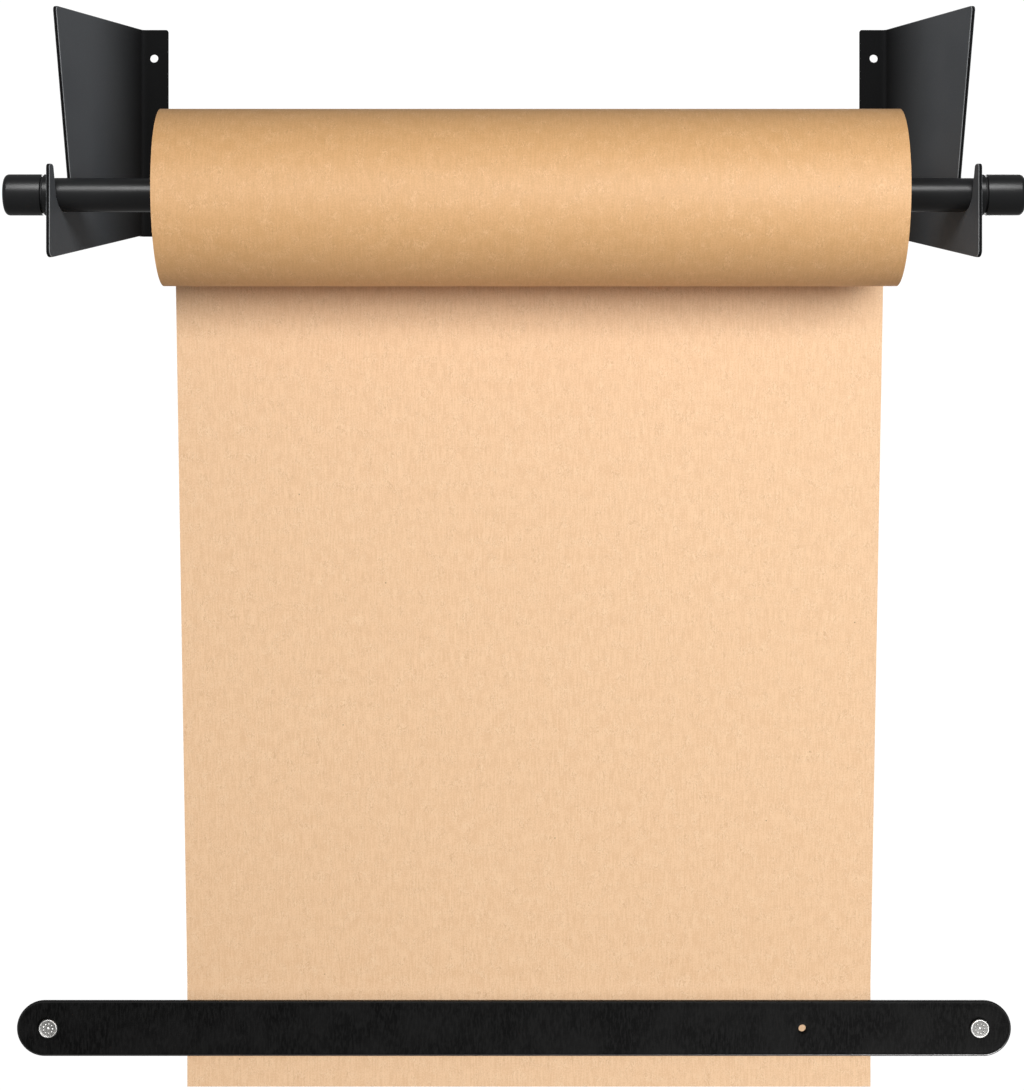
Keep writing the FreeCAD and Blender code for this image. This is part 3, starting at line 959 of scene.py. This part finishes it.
def strap_mesh(name):
    """Closed loops from the middle of the face, over the edge, to the middle of the back."""
    front = strap_low.y
    back = strap_high.y
    crease = CREASE_IN + CREASE_STEEP
    sections = [(strap_r * share, front) for share in FACE_INSETS]
    sections += [
        (crease + CREASE_GENTLE, front),
        (crease + CREASE_GENTLE * 0.4, front + CREASE_DEEP * 0.7),
        (crease, front + CREASE_DEEP),
        (CREASE_IN, front + CREASE_DEEP * 0.1),
    ]
    edge_start = len(sections)
    angles = [math.pi / 2 * i / EDGE_ARC_STEPS for i in range(EDGE_ARC_STEPS + 1)]
    for angle in angles:
        sections.append((STRAP_ROUND * (1 - math.sin(angle)), front + STRAP_ROUND * (1 - math.cos(angle))))
    edge_end = len(sections) - 2
    for angle in angles[::-1]:
        inset = STRAP_BACK_ROUND * (1 - math.sin(angle))
        sections.append((inset, back - STRAP_BACK_ROUND * (1 - math.cos(angle))))
    sections += [(strap_r * share, back) for share in BACK_INSETS]
    shape = bmesh.new()
    loops = []
    for inset, y in sections:
        loop = []
        for point in round_ended(inset):
            sunk = dip(point.x, point.y) if inset > STRAP_ROUND and y < back else 0.0
            loop.append(shape.verts.new((point.x, y + sunk, strap_z + point.y)))
        loops.append(loop)
    for n, (outer, inner) in enumerate(zip(loops, loops[1:])):
        for i, vertex in enumerate(outer):
            j = (i + 1) % len(outer)
            face = shape.faces.new((vertex, outer[j], inner[j], inner[i]))
            face.material_index = 1 if edge_start <= n < edge_end else 0
    bmesh.ops.remove_doubles(shape, verts=shape.verts, dist=WELD)
    bmesh.ops.dissolve_degenerate(shape, edges=shape.edges, dist=WELD)
    bmesh.ops.recalc_face_normals(shape, faces=shape.faces)
    return mesh_of(name, shape, STRAP_SHARP)


def punched(mesh, name, cutters):
    """A mesh with holes punched through it by closed cutter meshes."""
    for cutter in cutters:
        tool = placed("punch", cutter)
        settings = {"object": tool, "operation": "DIFFERENCE", "solver": "EXACT"}
        mesh = applied(mesh, name, "BOOLEAN", settings)
        bpy.data.objects.remove(tool)
    return mesh


def punch(x, radius):
    """A round cutter that also rounds the hole's edge on the face."""
    front = -strap_low.y
    lip_r = radius + HOLE_LIP * 1.2
    outline = [
        (0, 0, 0),
        (0, radius, 0),
        (front - HOLE_LIP, radius, 0),
        (front + HOLE_LIP * 0.2, lip_r, 0),
        (front + PUNCH_PAST, lip_r, 0),
        (front + PUNCH_PAST, 0, 0),
    ]
    return turned("punch", outline, (x, 0, strap_z), (0, -1, 0), around=48)


black_leather = leather("black_leather")
black_edge = burnished("burnished_edge")
cutters = [punch(-SNAP_X, POST_HOLE_R), punch(SNAP_X, POST_HOLE_R), punch(SMALL_HOLE_X, SMALL_HOLE_R)]
mesh = punched(strap_mesh("leather_strap"), "leather_strap", cutters)
mesh.set_sharp_from_angle(angle=HOLE_SHARP)
fix("leather_strap", mesh, "strap", "black_leather", ["strap"], black_leather, black_edge)

# -------------------- press studs
# A press stud holds each end of the strap. Its cap is a nickel-plated pressing whose post goes through
# the leather and is flared in the socket behind. The socket snaps over a bead on the stud, which a
# cross-headed screw holds to the wall.

NICKEL = (0.74, 0.735, 0.72, 1)
NICKEL_DULL = (0.50, 0.495, 0.48, 1)
NICKEL_DARK = (0.20, 0.197, 0.190, 1)
FINE_EDGE = 0.1 * MM
PRESSED_EDGE = 0.15 * MM
RIM_EDGE = 0.2 * MM
ROLLED_EDGE = 0.3 * MM
DOMED_EDGE = 0.5 * MM
CAP_H = 1.7 * MM
CAP_SHOULDER = 0.5 * MM
CAP_SHOULDER_EDGE = 0.25 * MM
CAP_CHAMFER = 0.45 * MM
RIM_W = 0.95 * MM
FIELD_R = 4.5 * MM
FIELD_DROP = 0.55 * MM
FIELD_SLOPE = 0.35 * MM
TONED_PAST = 0.3 * MM
BEAD_RING_R = 3.1 * MM
BEAD_R = 0.72 * MM
BEAD_COUNT = 9
BOSS_R = 1.5 * MM
BOSS_SUNK = 0.62
POST_R = 2 * MM
FLARE_R = 2.8 * MM
FLARE_T = 0.4 * MM
SOCKET_R = 5.8 * MM
SOCKET_FLOOR = 0.6 * MM
SOCKET_LIP = 0.8 * MM
SNAP_GAP = 0.3 * MM
FOOT_R = 6 * MM
FOOT_T = 1 * MM
FOOT_EDGE = 0.35 * MM
NECK_R = 3.3 * MM
NECK_L = 1.3 * MM
BEAD_OUT_R = 3.7 * MM
STUD_BEAD_L = 1.6 * MM
SCREW_NECK_R = 1.95 * MM
SCREW_HEAD_R = 2.6 * MM
SCREW_HEAD_T = 1.3 * MM
SCREW_TIE = 0.4 * MM
SCREW_R = 1.5 * MM
SCREW_TIE_R = 0.7 * SCREW_R
SCREW_ROOT_R = 0.66 * SCREW_R
SCREW_L = 25 * MM
SCREW_POINT = 4 * MM
SCREW_PITCH = 1.35 * MM
RECESS_W = 0.75 * MM
RECESS_REACH = 1.55 * MM
RECESS_DEPTH = 0.95 * MM
RECESS_TAPER = 0.55
PUNCH_PROUD = 0.2


def bead_recipe():
    """A ring of small domes round a larger one, on the plane Z = 0."""
    number = "NodeSocketFloat"
    recipe = Recipe("bead_ring", {
        "Ring radius": number, "Bead": number, "Boss": number, "Count": "NodeSocketInt",
        "Finish": "NodeSocketMaterial",
    })
    count = recipe.size("Count")
    ring_r = recipe.size("Ring radius")
    bead_r = recipe.size("Bead")
    boss_r = recipe.size("Boss")
    ring = recipe.node("GeometryNodeMeshCircle", None, {"Vertices": count, "Radius": ring_r})
    dome = recipe.node("GeometryNodeMeshIcoSphere", None, {"Radius": bead_r, "Subdivisions": 3})
    beads = recipe.node("GeometryNodeInstanceOnPoints", None, {"Points": ring, "Instance": dome})
    boss = recipe.node("GeometryNodeMeshIcoSphere", None, {"Radius": boss_r, "Subdivisions": 4})
    low = recipe.node("ShaderNodeCombineXYZ", None, {"Z": boss_r * -BOSS_SUNK})
    sunk = recipe.node("GeometryNodeTransform", None, {"Geometry": boss, "Translation": low})
    joined = recipe.node("GeometryNodeJoinGeometry")
    for part in (beads, sunk):
        recipe.tree.links.new(part.socket, joined.socket.node.inputs[0])
    smooth = recipe.node("GeometryNodeSetShadeSmooth", None, {"Geometry": joined})
    recipe.finish(smooth)
    return recipe


def recess_punch(x, face_y, turn):
    """A tapered bar. Two of them, crossed, press the recess into a screw's head."""
    shape = bmesh.new()
    corners = []
    for depth, share in ((-RECESS_DEPTH * PUNCH_PROUD, 1.0), (RECESS_DEPTH, RECESS_TAPER)):
        for a, b in ((-1, -1), (1, -1), (1, 1), (-1, 1)):
            flat = Vector((a * RECESS_REACH * share, b * RECESS_W / 2))
            flat.rotate(Matrix.Rotation(turn, 2))
            corners.append(shape.verts.new((x + flat.x, face_y + depth, strap_z + flat.y)))
    top = corners[:4]
    bottom = corners[4:]
    shape.faces.new(top)
    shape.faces.new(bottom[::-1])
    for i in range(4):
        j = (i + 1) % 4
        shape.faces.new((top[j], top[i], bottom[i], bottom[j]))
    bmesh.ops.recalc_face_normals(shape, faces=shape.faces)
    return mesh_of("recess", shape)


nickel = plated_steel("nickel", NICKEL, NICKEL_DULL, roughness=0.36)
nickel_dark = plated_steel("nickel_dark", NICKEL_DARK, NICKEL_DARK, roughness=0.5)
beads = bead_recipe()
strap_front = -strap_low.y
strap_back = -strap_high.y
stud_top = FOOT_T + NECK_L + STUD_BEAD_L
head_seat = stud_top - SCREW_HEAD_T
crown = strap_front + CAP_H
cap_field = crown - FIELD_DROP
flare = strap_back - SOCKET_FLOOR
mouth = FOOT_T + SNAP_GAP
lip_r = BEAD_OUT_R + SNAP_GAP
cup_r = SOCKET_R - SOCKET_LIP
seat_r = SCREW_HEAD_R + FIT
bore_r = SCREW_NECK_R + FIT
out = (0, -1, 0)

cap = [
    (flare - FLARE_T, 0, 0),
    (flare - FLARE_T, FLARE_R, FINE_EDGE),
    (flare, FLARE_R, 0),
    (flare, POST_R, 0),
    (strap_front, POST_R, 0),
    (strap_front, CAP_R, PRESSED_EDGE),
    (crown - CAP_SHOULDER, CAP_R, CAP_SHOULDER_EDGE),
    (crown, CAP_R - CAP_CHAMFER, RIM_EDGE),
    (crown, CAP_R - RIM_W, RIM_EDGE),
    (cap_field, FIELD_R + FIELD_SLOPE, PRESSED_EDGE),
    (cap_field, 0, 0),
]
ornament = {
    "Ring radius": BEAD_RING_R, "Bead": BEAD_R, "Boss": BOSS_R, "Count": BEAD_COUNT, "Finish": nickel,
}
socket = [
    (mouth, lip_r, RIM_EDGE),
    (mouth, SOCKET_R, ROLLED_EDGE),
    (strap_back, SOCKET_R, ROLLED_EDGE),
    (strap_back, POST_R + FIT, 0),
    (flare, POST_R + FIT, 0),
    (flare, cup_r, PRESSED_EDGE),
    (mouth + SOCKET_LIP, cup_r, 0),
    (mouth + SOCKET_LIP, lip_r, PRESSED_EDGE),
]
stud = [
    (0, bore_r, 0),
    (0, FOOT_R, PRESSED_EDGE),
    (FOOT_T, FOOT_R, FOOT_EDGE),
    (FOOT_T, NECK_R, RIM_EDGE),
    (FOOT_T + NECK_L, NECK_R, RIM_EDGE),
    (FOOT_T + NECK_L, BEAD_OUT_R, PRESSED_EDGE),
    (stud_top, BEAD_OUT_R, DOMED_EDGE),
    (stud_top, seat_r, 0),
    (head_seat, seat_r, 0),
    (head_seat, bore_r, 0),
]
head = [
    (-SCREW_TIE, 0, 0),
    (-SCREW_TIE, SCREW_TIE_R, 0),
    (0, SCREW_NECK_R, 0),
    (head_seat, SCREW_NECK_R, 0),
    (head_seat, SCREW_HEAD_R, FINE_EDGE),
    (stud_top, SCREW_HEAD_R, DOMED_EDGE),
    (stud_top, 0, 0),
]

for side, hand in SIDES:
    on_wall = (hand * SNAP_X, 0, strap_z)
    mesh = turned(side + "_stud_cap", cap, on_wall, out)
    fix(side + "_stud_cap", mesh, "strap", "nickel", ["snap_caps"], nickel, nickel_dark)
    for polygon in mesh.polygons:
        spot = polygon.center
        inside = math.hypot(spot.x - on_wall[0], spot.z - strap_z) < FIELD_R + TONED_PAST
        polygon.material_index = 1 if inside and spot.y < -strap_front else 0
    mesh = laid(beads.grow(side + "_cap_beads", ornament), (hand * SNAP_X, -cap_field, strap_z), out)
    fix(side + "_cap_beads", mesh, "strap", "nickel", [])
    mesh = turned(side + "_stud_socket", socket, on_wall, out, around=80)
    fix(side + "_stud_socket", mesh, "strap", "nickel", ["snap_sockets"], nickel)
    mesh = turned(side + "_bead_stud", stud, on_wall, out, around=80)
    fix(side + "_bead_stud", mesh, "wall_frame", "nickel", ["wall_studs"], nickel)
    mesh = turned(side + "_screw_head", head, on_wall, out, around=64)
    bars = [recess_punch(hand * SNAP_X, -stud_top, turn) for turn in (0, math.pi / 2)]
    mesh = punched(mesh, side + "_screw_head", bars)
    mesh.set_sharp_from_angle(angle=SHARP_PAST)
    fix(side + "_screw_head", mesh, "wall_frame", "zinc_steel", ["stud_screws"], zinc)
    mesh = threaded(side + "_screw_thread", SCREW_L, SCREW_PITCH, SCREW_ROOT_R, SCREW_R, SCREW_POINT)
    fix(side + "_screw_thread", laid(mesh, on_wall, (0, 1, 0)), "wall_frame", "zinc_steel", [])

# -------------------- studio
# A pale floor lies far below, in a plain room that is dimmer in front of the holder and overhead than
# behind it. Six soft lights stand round it. Each works on its own pieces, so that the paper is bright
# while the black steel and leather stay calm.

FLOOR_Z = -2.2
FLOOR_R = 6.5
FLOOR_SIDES = 96
FLOOR_GREY = (0.75, 0.75, 0.75, 1)
WHITE = (1, 1, 1, 1)
FLOOR_GLOW = 0.10
FLOOR_SEEN = 0.60
ROOM_SEEN = 1.05
ROOM_FRONT = 0.26
ROOM_BACK = 0.38
ROOM_CEILING = 0.45
BACK_FROM = -0.15
BACK_TO = 0.45
CEILING_FROM = 0.05
CEILING_TO = 0.7
FOCAL_PX = 2518
IMAGE_H_PX = 1090
SENSOR_MM = 36
EYE = (-0.0013, -1.685, -0.2752)

paper = ["hanging_web", "wound_paper", "cardboard_core"]
strap = ["leather_strap"]
brackets = ["left_wall_bracket", "right_wall_bracket"]
caps = []
turned_parts = ["rod"]
snaps = []
for side, hand in SIDES:
    caps += [side + "_stud_cap", side + "_cap_beads"]
    for piece in ("rod_collar", "end_plug", "m8_stud", "nylon_washer", "end_knob"):
        turned_parts.append(side + "_" + piece)
    for piece in ("stud_cap", "cap_beads", "stud_socket", "bead_stud", "screw_head", "screw_thread"):
        snaps.append(side + "_" + piece)
hardware = brackets + turned_parts + snaps


def pieces_in(name, pieces):
    """A collection of named pieces, for a light to work on."""
    group = bpy.data.collections.new(name)
    for piece in pieces:
        group.objects.link(bpy.data.objects[piece])
    return group


def softbox(name, place, target, size, power, lights, shaded_by=()):
    """A soft light of some width, height and watts on the named pieces. shaded_by limits what shades it."""
    lamp = bpy.data.lights.new(name, "AREA")
    lamp.shape = "RECTANGLE"
    lamp.size, lamp.size_y = size
    lamp.energy = power
    box = placed(name, lamp)
    box.location = place
    box.rotation_euler = (Vector(target) - Vector(place)).to_track_quat("-Z", "Y").to_euler()
    box.visible_camera = False
    box.light_linking.receiver_collection = pieces_in(name + "_lights", lights)
    if shaded_by:
        box.light_linking.blocker_collection = pieces_in(name + "_shaded_by", shaded_by)


floor_paint = Paint("studio_floor")
floor_in_sight = floor_paint.node("ShaderNodeLightPath", output="Is Camera Ray")
floor_paint.surface({
    "Base Color": FLOOR_GREY,
    "Roughness": 1.0,
    "Specular IOR Level": 0.0,
    "Emission Color": WHITE,
    "Emission Strength": FLOOR_GLOW + floor_in_sight * (FLOOR_SEEN - FLOOR_GLOW),
})
shape = bmesh.new()
bmesh.ops.create_circle(shape, cap_ends=True, radius=FLOOR_R, segments=FLOOR_SIDES)
floor = placed("floor", mesh_of("floor", shape))
floor.data.transform(Matrix.Translation((0, 0, FLOOR_Z)))
floor.data.materials.append(floor_paint.material)

world = bpy.data.worlds.new("room")
world.use_nodes = True
room = Tree(world.node_tree)
back, up = room.apart(room.node("ShaderNodeTexCoord", output="Generated"))[1:]
behind = room.step(back, BACK_FROM, BACK_TO)
above = room.step(up, CEILING_FROM, CEILING_TO)
lighting = (ROOM_FRONT + behind * (ROOM_BACK - ROOM_FRONT)) * (1 - above * (1 - ROOM_CEILING))
in_sight = room.node("ShaderNodeLightPath", output="Is Camera Ray")
strength = lighting + in_sight * (ROOM_SEEN - lighting)
backdrop = room.node("ShaderNodeBackground", None, {"Color": WHITE, "Strength": strength})
room.node("ShaderNodeOutputWorld", None, {"Surface": backdrop})
bpy.context.scene.world = world

softbox("key", place=(0.96, -2.5, 0.225), target=(0.05, 0, -0.2), size=(2.4, 1.1), power=75,
        lights=paper + caps, shaded_by=paper + hardware)
softbox("front", place=(0.30, -2.5, -0.80), target=(0.05, 0, -0.3), size=(1.5, 1.0), power=16,
        lights=brackets + snaps)
softbox("overhead", place=(0.0, -1.44, 1.02), target=(0, -0.12, -0.06), size=(1.8, 0.70), power=34,
        lights=hardware)
softbox("fill", place=(0.7, -1.5, -1.3), target=(0.05, 0, -0.5), size=(0.8, 0.8), power=1.7, lights=paper)
softbox("low", place=(0.9, -1.3, -1.9), target=(0.1, 0, -0.6), size=(0.8, 0.8), power=40, lights=strap)
softbox("back", place=(0.5, 2.6, 0.3), target=(0, 0, -0.3), size=(1.8, 1.8), power=36,
        lights=paper + turned_parts + snaps + strap)

lens = bpy.data.cameras.new("camera")
lens.sensor_fit = "AUTO"
lens.sensor_width = SENSOR_MM
lens.lens = SENSOR_MM * FOCAL_PX / IMAGE_H_PX
camera = placed("camera", lens)
camera.location = EYE
camera.rotation_euler = (math.pi / 2, 0, 0)
bpy.context.scene.camera = camera
bpy.context.scene.view_settings.view_transform = "Standard"
bpy.context.scene.view_settings.look = "None"
